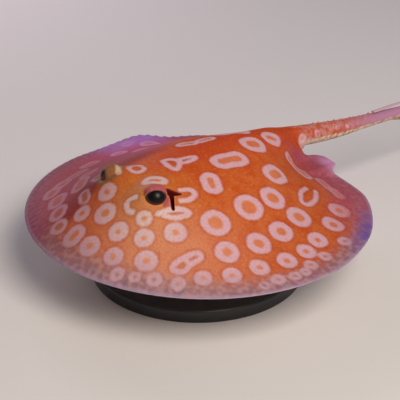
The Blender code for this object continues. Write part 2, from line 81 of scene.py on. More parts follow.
TAIL_ROOT_ANGLE, TAIL_SWEEP, TAIL_PITCH, TAIL_TIP_LIFT = 4.8, 8.0, (-10.0, -2.3), 5.0
FOLD_UPPER, FOLD_LOWER = (0.60, 0.93, 0.012), (0.42, 0.95, 0.014)      # start, end and height


def ease(low, high, x):
    """0 at low, 1 at high, with a smooth step between. It also runs downhill."""
    t = min(max((x - low) / (high - low), 0.0), 1.0)
    return t * t * (3 - 2 * t)


def along(stations, values, x):
    """A smooth curve through the values at the stations."""
    x = min(max(x, stations[0]), stations[-1])
    last = len(stations) - 2
    i = next(k for k in range(last + 1) if x <= stations[k + 1] or k == last)

    def slope(k):
        if k == 0:
            return 0.0
        if k == len(stations) - 1:
            return (values[k] - values[k - 1]) / (stations[k] - stations[k - 1])
        return (values[k + 1] - values[k - 1]) / (stations[k + 1] - stations[k - 1])

    width = stations[i + 1] - stations[i]
    t = (x - stations[i]) / width
    return (
        (2 * t**3 - 3 * t**2 + 1) * values[i]
        + (t**3 - 2 * t**2 + t) * width * slope(i)
        + (3 * t**2 - 2 * t**3) * values[i + 1]
        + (t**3 - t**2) * width * slope(i + 1)
    )


def oval(bearing):
    """The plan radius of the plain oval that the disc follows, at a bearing from the snout."""
    a = math.radians(bearing)
    return 1 / math.hypot(math.sin(a) / HALF_WIDTH, math.cos(a) / HALF_LENGTH)


def margin(bearing):
    """The disc's plan radius: the oval, drawn in behind, with the pelvic lobes and their notches."""
    off_tail = 180.0 - abs(bearing)
    draw = REAR_DRAW_IN[0] * (1 - ease(NOTCH_ANGLE, DRAW_IN_ANGLE, off_tail))
    draw += REAR_DRAW_IN[1] * (1 - ease(*LOBE_ANGLES, off_tail))
    lobe = LOBE_REACH * ease(*LOBE_ANGLES, off_tail) * (1 - ease(LOBE_TIP_ANGLE, NOTCH_ANGLE, off_tail))
    spread = NOTCH_SPREAD[off_tail > NOTCH_ANGLE]
    notch = NOTCH_DEPTH * math.exp(-(((off_tail - NOTCH_ANGLE) / spread) ** 2))
    return oval(bearing) * (1 - draw + lobe - notch)


REAR_EDGE = margin(180.0)


def blended(front, side, rear, bearing, share):
    """A size between the three lines, at a bearing and a share of the way out."""
    cosine = math.cos(math.radians(bearing))
    end = front if cosine > 0 else rear
    share = min(share, 1.0)
    return along(STATIONS, side, share) * (1 - cosine**2) + along(STATIONS, end, share) * cosine**2


def ridge(x, y, line, base):
    """What the ridge of the back adds behind the middle, where it runs into the tail."""
    half = along(BACK_STATIONS, BACK_HALF_WIDTH, y)
    power = 2 + 2 * ease(0.2, REAR_EDGE, y)
    return (along(BACK_STATIONS, line, y) - base) * math.exp(-abs(x / half) ** power)


def waves(bearing, outward):
    """The soft waves at the sides of the gliding disc's margin, and the lift of the pelvic lobes."""
    off_tail = 180.0 - abs(bearing)
    wave = RIPPLE_HEIGHT * math.sin(math.radians(off_tail * RIPPLES))
    wave *= ease(25, 50, off_tail) * (1 - ease(75, 100, off_tail))
    if bearing < 0:
        wave += CREST_HEIGHT * math.exp(-(((off_tail - CREST_ANGLE) / CREST_SPREAD) ** 2))
    lobe = LOBE_LIFT * ease(4.0, 9.0, off_tail) * (1 - ease(NOTCH_ANGLE - 2, NOTCH_ANGLE + 2, off_tail))
    return wave * ease(0.55, 1.0, outward) + lobe * ease(0.72, 1.0, outward)


def thickness(bearing, share, outward):
    """How deep the disc is, thinning to the margin wherever that is drawn in."""
    deep = blended(DEEP_FRONT, DEEP_SIDE, DEEP_REAR, bearing, share)
    return RIM_DEPTH + (deep - RIM_DEPTH) * (1 - outward**8)


def form_point(bearing, outward, under=False):
    """A point of the plain form, at a bearing and a share of the way out to the margin."""
    turn = math.radians(bearing)
    radius = margin(bearing) * outward
    x, y = math.sin(turn) * radius, -math.cos(turn) * radius
    share = radius / oval(bearing)
    z = blended(TOP_FRONT, TOP_SIDE, TOP_REAR, bearing, share) + waves(bearing, outward)
    if y > 0:
        base = blended(TOP_FRONT, TOP_SIDE, TOP_REAR, 180.0, y / HALF_LENGTH)
        z += ridge(x, y, BACK_TOP, base)
    if under:
        z -= thickness(bearing, share, outward)
        if y > 0:
            z -= ridge(x, y, BACK_DEEP, thickness(180.0, y / HALF_LENGTH, min(y / REAR_EDGE, 1.0)))
    else:
        off_mound = math.hypot(abs(x) - EYE_X + MOUND_INWARD, y - EYE_Y)
        z += MOUND_HEIGHT * math.exp(-((off_mound / MOUND_RADIUS) ** 2))
    return Vector((x, y, z))


def tail_direction(t):
    """The way the tail runs at a share of its length: it swings left and back, sinks, and lifts its tip."""
    yaw = math.radians(TAIL_SWEEP * ease(0.0, 0.15, t) * (1 - 1.4 * ease(0.45, 1.0, t)))
    pitch = math.radians(TAIL_PITCH[0] + (TAIL_PITCH[1] - TAIL_PITCH[0]) * ease(0.0, 0.3, t))
    pitch += math.radians(TAIL_TIP_LIFT) * ease(0.55, 1.0, t)
    return Vector((math.sin(yaw) * math.cos(pitch), math.cos(yaw) * math.cos(pitch), math.sin(pitch)))


def tail_centres(count):
    """Centres and directions along the tail, from its root to its tip."""
    here = (form_point(180.0, 1.0) + form_point(180.0, 1.0, under=True)) / 2
    made = [(here.copy(), tail_direction(0.0))]
    for k in range(count):
        here = here + tail_direction((k + 0.5) / count) * (TAIL_LENGTH / count)
        made.append((here.copy(), tail_direction((k + 1) / count)))
    return made


def fold_height(fold, t):
    """The height of a fin fold of the tail, at a share of the tail's length."""
    begin, end, height = fold
    return height * ease(begin, begin + 0.08, t) * (1 - ease(end - 0.22, end, t))


def tail_point(centre, direction, t, turn):
    """A point of the tail's skin. turn runs round the tail from its left side, over its top."""
    left = Vector((direction.y, -direction.x, 0)).normalized()
    up = left.cross(direction).normalized()
    across = math.cos(turn) * along(TAIL_STATIONS, TAIL_HALF_WIDTH, t)
    rise = math.sin(turn) * along(TAIL_STATIONS, TAIL_HALF_HEIGHT, t)
    peak = math.exp(-((math.cos(turn) / 0.16) ** 2))
    fold = fold_height(FOLD_UPPER if rise > 0 else FOLD_LOWER, t)
    return centre + left * across + up * (rise + math.copysign(fold * peak, rise))


def in_metres(point):
    """From shares of the disc's width to the part's own frame."""
    return Vector(point) * DISC_WIDTH + Vector((0, 0, MARGIN_HEIGHT))


# --- The skin: its folds -----------------------------------------------------------------
# What the skin adds to the form: lids round the eyes, the breathing holes behind them, fine
# creases along the thin margin, and underneath the mouth with its curtain, gill slits and vent.

EYES = {side: sum(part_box(name), Vector()) / 2 for side, name in ((1, "eye_left"), (-1, "eye_right"))}
EYE_RADIUS = (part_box("eye_left")[1].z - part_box("eye_left")[0].z) / 2
LID_THICKNESS = 0.0007         # metres
EYE_AXES = {1: Vector((0.77, -0.57, 0.26)).normalized(), -1: Vector((-0.86, -0.44, 0.24)).normalized()}
# The next four are in shares of the eye's radius.
EYE_OPENING = (0.985, 0.80)    # half the opening, along and across
LID_REACH, LID_FLOOR = 2.0, 0.86                # the lid's reach, and where the skin lies under the ball
LID_EDGE, LID_FADE = (0.90, 1.08), (1.02, 1.3)  # the opening's edge, and how far out the opening is felt
LID_TINT = {1: (1.15, 1.45), -1: (1.3, 1.7)}    # how far out from each eye the lid's own colour fades
SPIRACLE = (                   # the breathing hole: a wide upper end, and a slot that runs down from it
    ((0.106, -0.206), (0.119, -0.182), 0.0094, 0.0030),
    ((0.112, -0.207), (0.141, -0.229), 0.0052, 0.0038),
)
SPIRACLE_DEPTH, SPIRACLE_LIP = 0.028, 0.0012
SPIRACLE_SHOAL = 0.65          # how much less deep its narrow ends are
# The breathing hole's wall, and how far out its painted shade reaches, from the middle outwards.
SPIRACLE_WALL, SPIRACLE_SHADE = (0.35, 1.2), (0.95, 1.4)         # from the middle outwards, in half widths
FLAP = ((0.117, -0.227), (0.130, -0.243), 0.0080, 0.0030)       # the valve's two ends, half width and height
CREASES, CREASE_HEIGHT = 120, 0.0007            # creases in a full turn, and their height
FRILL_ANGLE, FRILL_SPREAD, FRILL_GAIN = 62, 16, 2.2             # where the creases are this much higher
GILLS = 5
GILL_FRONT, GILL_STEP, GILL_HALF_LENGTH = (0.112, -0.200), (-0.0105, 0.036), 0.017
GILL_HALF_WIDTH, GILL_DEPTH, GILL_LIP = 0.0028, 0.0040, 0.0024
MOUTH_Y, MOUTH_HALF_WIDTH, MOUTH_BEND, MOUTH_GAP, MOUTH_DEPTH = -0.300, 0.040, 0.006, 0.0032, 0.0090
LIP_BEHIND, LIP_WIDTH, LIP_HEIGHT = 0.010, 0.0055, 0.0045
CURTAIN_FRONT, CURTAIN_HEIGHT = (-0.342, -0.334), 0.0042
NOSTRIL, NOSTRIL_RADIUS, NOSTRIL_DEPTH = (0.040, -0.332), 0.0055, 0.0065
VENT_Y, VENT_HALF_WIDTH, VENT_HALF_LENGTH, VENT_DEPTH = 0.318, 0.0030, 0.014, 0.0045


def lid(point, side):
    """Lays the skin round an eyeball, and under it within the opening. Also how much lid the place is."""
    away = point - EYES[side]
    far = away.length
    if far > EYE_RADIUS * LID_REACH:
        return point, 0.0
    out = away / far
    axis = EYE_AXES[side]
    level = Vector((0, 0, 1)).cross(axis).normalized()
    rise = out.dot(axis.cross(level))
    off = math.hypot(out.dot(level) / EYE_OPENING[0], rise / EYE_OPENING[1])
    if out.dot(axis) < 0:
        off = max(off, 2.0 - off)
    cover = EYE_RADIUS + LID_THICKNESS * (1 + 0.8 * ease(0.1, 0.9, rise))
    lifted = max(ease(*LID_EDGE, off), ease(*LID_FADE, far / EYE_RADIUS))
    floor = EYE_RADIUS * LID_FLOOR
    place = EYES[side] + out * (floor + (max(far, cover) - floor) * lifted)
    tint = 1 - ease(*LID_TINT[side], far / EYE_RADIUS)
    if side > 0:
        tint *= ease(0.25, 0.55, rise)
    return place, tint


def capsule(x, y, a, b):
    """Distance in plan from the line between two ends, and how far along it."""
    ax, ay = a
    ux, uy = b[0] - ax, b[1] - ay
    t = min(max(((x - ax) * ux + (y - ay) * uy) / (ux * ux + uy * uy), 0.0), 1.0)
    return math.hypot(x - ax - ux * t, y - ay - uy * t), t


def upper_folds(x, y, bearing, outward):
    """The upper skin's rise over the plain form, how far it is in the breathing hole's painted shade, and on
    its valve.
    """
    hollow, dark, lip = 0.0, 0.0, 0.0
    for upper, lower, wide, narrow in SPIRACLE:
        off, t = capsule(abs(x), y, upper, lower)
        off /= wide + (narrow - wide) * t
        hollow = max(hollow, (1 - ease(*SPIRACLE_WALL, off)) * (1 - SPIRACLE_SHOAL * t))
        # How far the place is in the hole's painted shade.
        dark = max(dark, 1 - ease(*SPIRACLE_SHADE, off))
        lip = max(lip, math.exp(-(((off - 1.5) / 0.35) ** 2)))
    rise = SPIRACLE_LIP * lip * (1 - hollow) - SPIRACLE_DEPTH * hollow
    *ends, half_width, height = FLAP
    flap = (1 - ease(0.4, 1.2, capsule(abs(x), y, *ends)[0] / half_width)) * (1 - hollow)
    off_tail = 180.0 - abs(bearing)
    crease = math.sin(math.radians(off_tail * CREASES + 40 * math.sin(math.radians(off_tail * 9))))
    crease *= 1 + FRILL_GAIN * math.exp(-(((off_tail - FRILL_ANGLE) / FRILL_SPREAD) ** 2))
    crease *= ease(0.88, 0.98, outward) * ease(30, 60, off_tail)
    return rise + height * flap + CREASE_HEIGHT * crease, dark, flap


def lower_folds(x, y):
    """How far the belly's skin stands down from the plain form, and how much painted shade its slits and
    holes give it.
    """
    x = abs(x)
    drop, hollow = 0.0, 0.0
    for k in range(GILLS):
        gill_x, gill_y = GILL_FRONT[0] + GILL_STEP[0] * k, GILL_FRONT[1] + GILL_STEP[1] * k
        half = GILL_HALF_LENGTH * (1 - 0.07 * k)
        across = x - gill_x
        if abs(across) < half * 1.4:
            ends = 1 - ease(0.75, 1.15, abs(across / half))
            off = (y - gill_y - 0.12 * across + 0.25 * across**2 / half) / GILL_HALF_WIDTH
            slit = math.exp(-off * off) * ends
            drop += GILL_LIP * math.exp(-((off - 2.2) ** 2) / 2) * ends - GILL_DEPTH * slit
            hollow = max(hollow, slit)
    behind = y - MOUTH_Y - MOUTH_BEND * (x / MOUTH_HALF_WIDTH) ** 2
    ends = 1 - ease(0.8, 1.12, x / MOUTH_HALF_WIDTH)
    gap = math.exp(-((behind / MOUTH_GAP) ** 2)) * ends
    lips = math.exp(-(((behind - LIP_BEHIND) / LIP_WIDTH) ** 2)) * ends
    curtain = ease(-0.004, -0.008, behind) * ease(*CURTAIN_FRONT, y) * (1 - ease(0.030, 0.038, x))
    nostril = math.exp(-((math.hypot(x - NOSTRIL[0], y - NOSTRIL[1]) / NOSTRIL_RADIUS) ** 2))
    vent = math.exp(-((x / VENT_HALF_WIDTH) ** 2) - (((y - VENT_Y) / VENT_HALF_LENGTH) ** 4))
    drop += LIP_HEIGHT * lips + CURTAIN_HEIGHT * curtain
    drop -= MOUTH_DEPTH * gap + NOSTRIL_DEPTH * nostril + VENT_DEPTH * vent
    # The second value sets the painted shade in the slits, mouth, nostrils and vent.
    return drop, max(hollow, gap, 0.8 * nostril, 0.6 * vent)


def skin_point(bearing, outward, under=False):
    """A point of the skin in metres, how much painted shade its hollows give it there, and how much lid or
    valve.
    """
    point = form_point(bearing, outward, under)
    if under:
        drop, hollow = lower_folds(point.x, point.y)
        point.z -= drop * (1 - ease(0.9, 1.0, outward))
        return in_metres(point), hollow, 0.0
    rise, hollow, flap = upper_folds(point.x, point.y, bearing, outward)
    point.z += rise
    place, near = lid(in_metres(point), 1 if point.x > 0 else -1)
    return place, hollow, max(near, flap)


# --- The skin: its mesh ------------------------------------------------------------------
# The skin grows ring by ring out over the disc, round the margin and back underneath, and the
# tail grows out of the margin between the pelvic lobes. It is closer where head and gills are.

STEP = 1.0
# Up to each bearing off the tail, or share of the way out: in steps of about this size.
COLUMN_STEPS = ((4.8, 0.6), (25.0, 0.86), (136.0, 1.06), (173.0, 0.55), (180.0, 0.7))
TOP_STEPS = ((0.38, 0.0120), (0.72, 0.0064), (1.0, 0.0108))
UNDER_STEPS = ((0.12, 0.04), (0.56, 0.0115), (0.64, 0.016), (0.76, 0.0095), (1.0, 0.020))
TAIL_RINGS = round(150 / STEP)
TAIL_SETTLED = 0.07            # share of the tail's length by which the margin's faces have taken its form
MARGIN_BANDS = (0.3, 0.7)      # rings round the thin margin, in shares of its depth
FINE_REACH = 0.0140            # metres round each eye and breathing hole, where each face is split in four
FINE_MIDDLE = (0.003, 0.0035)  # metres from the eye to the middle of that, outwards and back
MARGIN_BULGE = 0.0005          # metres


def spaced(steps):
    """Values from 0 on, each stretch in even steps of about the size given."""
    values = [0.0]
    for end, step in steps:
        first = values[-1]
        count = max(1, round((end - first) / (step * STEP)))
        values += [first + (end - first) * (k + 1) / count for k in range(count)]
    return values


def grow_skin():
    """The whole skin as one closed bmesh, with notes on its points for the paint."""
    half = spaced(COLUMN_STEPS)
    bearings = [180.0 - b for b in half] + [b - 180.0 for b in reversed(half[1:-1])]
    bm = bmesh.new()
    # The note hollow is how much painted shade a hole or slit gives the point.
    names = ("hollow", "lid", "under", "share", "tail", "bearing")
    notes = [bm.verts.layers.float.new(name) for name in names]

    def note(vert, *values):
        for layer, value in zip(notes, values):
            vert[layer] = value

    def next_ring(verts):
        edges = [bm.edges.get((a, b)) for a, b in zip(verts, verts[1:] + verts[:1])]
        out = bmesh.ops.extrude_edge_only(bm, edges=edges)["geom"]
        fresh = {v for v in out if isinstance(v, bmesh.types.BMVert)}
        return [next(e.other_vert(v) for e in v.link_edges if e.other_vert(v) in fresh) for v in verts]

    def lay(verts, outward, under):
        for vert, bearing in zip(verts, bearings):
            vert.co, hollow, near = skin_point(bearing, outward, under)
            note(vert, hollow, near, float(under), outward, 0.0, bearing)

    ring = bmesh.ops.create_circle(bm, segments=len(bearings), radius=1.0, cap_ends=True)["verts"]
    shares = spaced(TOP_STEPS)[1:]
    lay(ring, shares[0], False)
    for share in shares[1:]:
        ring = next_ring(ring)
        lay(ring, share, False)
    bands = [ring]
    low = [skin_point(b, 1.0, True)[0] for b in bearings]
    for down in MARGIN_BANDS:
        ring = next_ring(ring)
        for vert, top, bottom, bearing in zip(ring, bands[0], low, bearings):
            vert.co = top.co.lerp(bottom, down)
            if 180.0 - abs(bearing) > TAIL_ROOT_ANGLE:
                vert.co += Vector((*top.co.xy.normalized() * MARGIN_BULGE, 0))
            note(vert, 0.0, 0.0, down, 1.0, 0.0)
        bands.append(ring)
    for share in reversed(spaced(UNDER_STEPS)[1:]):
        ring = next_ring(ring)
        lay(ring, share, True)
        if share == 1.0:
            bands.append(ring)
    bm.faces.new(ring)

    # The tail: the margin's faces between the lobes are extruded along its centres.
    root = [i for i, b in enumerate(bearings) if 180.0 - abs(b) <= TAIL_ROOT_ANGLE + 1e-6]
    root.sort(key=lambda i: -bands[0][i].co.x)
    patch = []
    for i, j in zip(root, root[1:]):
        for top, bottom in zip(bands, bands[1:]):
            corners = {top[i], top[j], bottom[i], bottom[j]}
            patch += [face for face in top[i].link_faces if set(face.verts) == corners]
    loop = [bands[0][i] for i in root] + [band[root[-1]] for band in bands[1:-1]]
    loop += [bands[-1][i] for i in reversed(root)] + [band[root[0]] for band in reversed(bands[1:-1])]
    turns = [2 * math.pi * (k + 1.5) / len(loop) for k in range(len(loop))]
    base = [v.co.copy() for v in loop]
    centres = tail_centres(TAIL_RINGS)
    for k in range(1, TAIL_RINGS + 1):
        t = k / TAIL_RINGS
        moved = bmesh.ops.extrude_face_region(bm, geom=patch)["geom"]
        bmesh.ops.delete(bm, geom=patch, context="FACES")
        patch = [face for face in moved if isinstance(face, bmesh.types.BMFace)]
        fresh = {vert for face in patch for vert in face.verts}
        loop = [next(e.other_vert(v) for e in v.link_edges if e.other_vert(v) in fresh) for v in loop]
        settled = ease(0.0, TAIL_SETTLED, t)
        gone = (centres[k][0] - centres[0][0]) * DISC_WIDTH
        for vert, turn, first in zip(loop, turns, base):
            vert.co = (first + gone).lerp(in_metres(tail_point(*centres[k], t, turn)), settled)
            note(vert, 0.0, 0.0, 0.0, 1.0, t)
    bmesh.ops.delete(bm, geom=patch, context="FACES")
    bm.faces.new(loop)

    # Round the eyes and breathing holes the faces are split, and the new points laid on the skin.
    hollow_of, lid_of, under_of, share_of, _, bearing_of = notes
    middles = [EYES[side] + Vector((side * FINE_MIDDLE[0], FINE_MIDDLE[1], 0)) for side in (1, -1)]
    close = {
        edge for face in bm.faces if all(v[under_of] == 0 and 0 < v[share_of] < 1 for v in face.verts)
        if min((face.calc_center_median() - middle).length for middle in middles) < FINE_REACH
        for edge in face.edges
    }
    close = [edge for edge in bm.edges if edge in close]
    split = bmesh.ops.subdivide_edges(bm, edges=close, cuts=1, use_grid_fill=True)["geom_inner"]
    for vert in split:
        if isinstance(vert, bmesh.types.BMVert):
            vert.co, vert[hollow_of], vert[lid_of] = skin_point(vert[bearing_of], vert[share_of])
    bmesh.ops.recalc_face_normals(bm, faces=bm.faces)
    return bm


# --- The skin: its marks -----------------------------------------------------------------
# Pale rings and loops over orange, set in rough rows. They get smaller and paler towards the
# margin. Each is given by its outer half width and the points it runs through.

RING_WIDTH = 5.1               # millimetres, the most that a ring's pale line is wide
RING_SHARES = (0.72, 0.55)     # and that in shares of the ring's half width; the second on the right fin
RIGHT_FIN = -25                # millimetres from the middle
RINGS = (                      # half width in mm, then bearing from the snout and mm from the disc's middle
    # Over the snout and the front of the right fin.
    (6.9, (-9.4, 71)), (8.0, (-1.1, 80.5)), (6.6, (-12.8, 87)), (7.4, (-38, 94), (-35, 95)),
    (7.0, (-26.5, 95.5), (-25, 97)), (6.8, (-17.2, 100.5)), (7.2, (-6.7, 97.5), (-6.7, 100.5)),
    (7.6, (2.9, 99.5)), (6.9, (10.7, 86.5)), (6.5, (14.2, 100)), (6.4, (22.6, 85.3)), (5.4, (19.5, 76)),
    # Between the eyes and on the back.
    (6.8, (10.2, 50.8), (14.2, 49.2)), (4.6, (-95, 17), (-119, 14.3)),
    (4.4, (-141, 17.4), (-155, 22.6)), (4.9, (-168, 45), (-175, 49)), (8.0, (98, 20), (125, 27)),
    (7.0, (59, 34), (59.3, 39.5)), (8.6, (163, 44.4), (162.4, 40.8)), (6.0, (172.2, 61.5), (171, 66)),
    # The left fin, row by row.
    (7.1, (35.2, 77.5)), (7.4, (26.6, 97.4)), (9.8, (55.2, 66.5)), (10.2, (80.3, 57)), (8.0, (57.5, 85.7)),
    (8.4, (73.2, 81.4)), (8.4, (88, 78)), (9.0, (104.5, 76.3)),
    (9.4, (102.3, 58.3)), (8.8, (132, 53), (127, 51)), (6.6, (68, 98.2)), (6.8, (79.9, 97.7)),
    (6.6, (90.2, 96.7)), (7.0, (99.3, 94.6)), (6.2, (57.1, 102)), (8.0, (114, 95)), (8.0, (126.9, 95.8)),
    # Behind it, drawn out into long thin loops.
    (4.4, (166.1, 74), (164.7, 79), (154.5, 80.5)), (4.0, (152.5, 89.5), (146, 92)),
    (4.0, (144.5, 94.5), (139, 97.5)),
    # The small ones along the left margin.
    (5.0, (31.2, 107.3)), (4.8, (18.6, 108.5)), (5.0, (39.2, 108.5)), (5.8, (47.2, 103.7)),
    (4.0, (24.7, 107.8)), (5.0, (71.6, 110.4)), (4.4, (77.6, 111.4)), (4.6, (86, 107.5)),
    (4.6, (93.9, 106.8)), (4.0, (82, 111)),
    (4.0, (66.4, 113)), (5.0, (106.2, 108)),
    # The right fin's front and side, where the rings are drawn out into streaks.
    (6.4, (-46, 78), (-37, 80)), (5.0, (-24, 79), (-19.5, 80.5)), (6.6, (-50.5, 99), (-46.5, 100)),
    (5.6, (-70.5, 91), (-63, 92.5)), (5.4, (-83.5, 96.5), (-79, 97)), (6.4, (-58, 95), (-54, 96)),
    (6.0, (-35, 67), (-29, 66)), (5.6, (-62, 77), (-55, 78)),
)
LINES = (                      # rings that aren't whole or round: half the line's width, then its points
    (2.1, (9.7, 67.0), (6.3, 68.7), (7.0, 72.2), (10.0, 74.9), (12.2, 74.8)),
    (1.9, (-12, 27.5), (-10.5, 22.5), (9.7, 19.5), (21, 31), (8, 30.5), (-12, 27.5)),
    (1.9, (4.4, 18), (28, 9), (42, 12), (18.7, 22), (9.7, 20)),
    (2.1, (32.4, 48.4), (39.3, 45), (44.2, 48), (40.3, 53.5), (34.5, 56.8)),
    (2.0, (25.4, 71.2), (28.3, 67.9), (34.4, 62.4), (41, 61.8), (39.3, 65.7), (33, 69.8), (28.2, 70.4)),
    (2.4, (-19, 57.5), (-13.5, 59.3)),
    (1.9, (135.9, 73.4), (129, 69.7), (122.7, 69.7), (117.5, 72), (117.9, 75.7), (123, 78.5), (129.5, 80),
     (137, 80)),
    (1.9, (36.8, 100), (36.2, 97), (40.5, 91), (45.5, 86.5), (47.3, 90.5), (42.8, 95), (40.3, 101.5),
     (36.8, 100)),
    (1.4, (40.5, 91.5), (42.5, 96)),
    (1.7, (-15, 51.5), (-20.5, 47), (-19, 42.4), (-9, 41.6), (-6.5, 46), (-9, 50.5), (-15, 51.5)),
)
WIDEST_LINE = 2.5              # millimetres: a mark with a smaller half width is filled, not a ring
TAIL_SPOTS = ((0.03, 8, 4.2), (0.10, 22, 3.4), (0.175, 48, 2.6), (0.23, 30, 2.4))
REPEATED = (95.0, 171.0), 35.0                  # the marks between these bearings and this far out
REPEAT_TURN, REPEAT_WANDER, REPEAT_OUT = 3.0, 2.5, 1.01         # are on the right too, moved by this
MARK_FAR, EDGE_FAR = 20.0, 40.0                 # millimetres, what counts as far from a mark or the margin
# The broad zones of colour, in millimetres from the disc's middle: the right side's edge and its slants
# before and behind RIGHT_Y, how high that side goes, and the warm parts' middles and spreads.
# RIGHT_X, RIGHT_Y, RIGHT_SLANTS and RIGHT_TOP bound the right side's painted mauve light.
RIGHT_X, RIGHT_Y, RIGHT_SLANTS, RIGHT_TOP = -14.0, -8.0, (-0.07, 0.22), (36.0, 43.0)
HEAD_MIDDLE, HEAD_SPREAD = (16.0, -62.0), (26.0, 22.0)
BACK_X, BACK_SPREAD, BACK_Y = -4.0, 24.0, (-62.0, 0.0)
FLANK_BEARING, FLANK_SPREAD, FLANK_OUT = 30.0, 34.0, (45.0, 85.0)
# Where the painted violet light through the side margins begins and ends.
VIOLET_START, VIOLET_END, VIOLET_LEFT = (88.0, 104.0), (112.0, 128.0), 9.0      # bearings; the left's is more
# Where the painted pink highlight on the lobes' tips lies.
LOBE_BEARING, LOBE_SPREAD, LOBE_OUT = 16.0, 5.0, (96.0, 106.0)


def rounded(points):
    """The same line with its corners cut twice, so that it bends smoothly."""
    for _ in range(2 if len(points) > 2 else 0):
        cut = [points[0]]
        for a, b in zip(points, points[1:]):
            cut += [a * 0.75 + b * 0.25, a * 0.25 + b * 0.75]
        points = [*cut, points[-1]]
    return points


def mark_places():
    """Every mark as its half width and its points in space, in millimetres.

    The ones at the back of the left side are repeated on the right, each moved a little.
    """
    made = []
    for radius, *points in RINGS + LINES:
        made.append((radius, points))
        bearings = [bearing for bearing, _ in points]
        (front, rear), middle = REPEATED
        if front < min(bearings) and max(bearings) < rear and points[0][1] > middle:
            moved = [(b - REPEAT_TURN + REPEAT_WANDER * math.sin(out), out) for b, out in points]
            made.append((radius, [(-b, out * REPEAT_OUT) for b, out in moved]))
    placed = []
    for radius, points in made:
        spots = [form_point(b, min(out / 1000 / DISC_WIDTH / margin(b), 0.99)) for b, out in points]
        placed.append((radius, rounded([np.array(in_metres(p)) * 1000 for p in spots])))
    centres = tail_centres(100)
    for t, turn, radius in TAIL_SPOTS:              # share of the tail, degrees round it, half width
        spot = tail_point(*centres[round(t * 100)], t, math.radians(turn))
        placed.append((radius, [np.array(in_metres(spot)) * 1000]))
    return placed


def line_distance(places, points):
    """Distance of each place from the line through some points, all in millimetres."""
    if len(points) == 1:
        return np.linalg.norm(places - points[0], axis=1)
    best = np.full(len(places), 1e3)
    for a, b in zip(points, points[1:]):
        t = np.clip((places - a) @ (b - a) / ((b - a) @ (b - a)), 0, 1)
        best = np.minimum(best, np.linalg.norm(places - a - t[:, None] * (b - a), axis=1))
    return best


def mark_distances(places, under):
    """For each place, how far outside the nearest pale line it is, and outside the nearest mark, in mm."""
    line = np.full(len(places), MARK_FAR)
    mark = np.full(len(places), MARK_FAR)
    for radius, points in mark_places():
        off = line_distance(places, points) - radius
        width = 2 * radius
        if radius > WIDEST_LINE:
            width = min(RING_WIDTH, RING_SHARES[int(points[0][0] <= RIGHT_FIN)] * radius)
        line = np.minimum(line, np.abs(off + width / 2) - width / 2)
        mark = np.minimum(mark, off)
    away = MARK_FAR * np.clip(under * 3, 0, 1)
    return line + away, mark + away


def smooth(low, high, x):
    """ease for a whole array."""
    t = np.clip((x - low) / (high - low), 0, 1)
    return t * t * (3 - 2 * t)


def read_notes(mesh, *names):
    """The notes of a mesh's points as arrays."""
    found = []
    for name in names:
        values = np.zeros(len(mesh.vertices), np.float32)
        mesh.attributes[name].data.foreach_get("value", values)
        found.append(values)
    return found


def write_notes(mesh, name, *columns):
    """Up to three values for each point, which the material reads under one name."""
    values = np.zeros((len(mesh.vertices), 3), np.float32)
    for k, column in enumerate(columns):
        values[:, k] = column
    mesh.attributes.new(name, "FLOAT_VECTOR", "POINT").data.foreach_set("vector", values.ravel())


